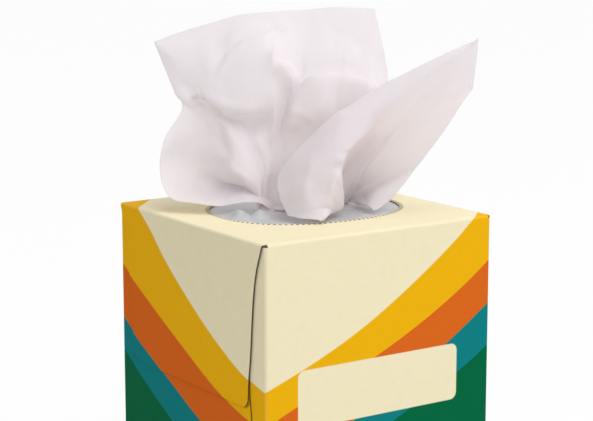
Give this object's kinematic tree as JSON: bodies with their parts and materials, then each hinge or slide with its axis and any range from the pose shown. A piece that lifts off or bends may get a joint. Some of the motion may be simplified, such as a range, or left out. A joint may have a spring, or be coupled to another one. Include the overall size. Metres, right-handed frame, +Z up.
{
  "type": "cube tissue box",
  "caption": "Upright cube carton with a torn oval mouth, a slit film under it and a stack of soft tissues, one of which stands out in folds ready to pull.",
  "frame": {"origin": "middle of the carton's base, on the surface it stands on", "axes": "+Z up, +X along the front panel to its right, +Y from the front panel to the back panel"},
  "size_m": [0.11, 0.11, 0.2056],
  "materials": {
    "printed_board": "satin print",
    "clear_film": "milky thin film",
    "tissue_paper": "soft and matte"
  },
  "bodies": {
    "root": {"carton": "printed_board", "slit_film": "clear_film", "tissue_stack": "tissue_paper", "raised_tissue": "tissue_paper"}
  },
  "joints": []
}
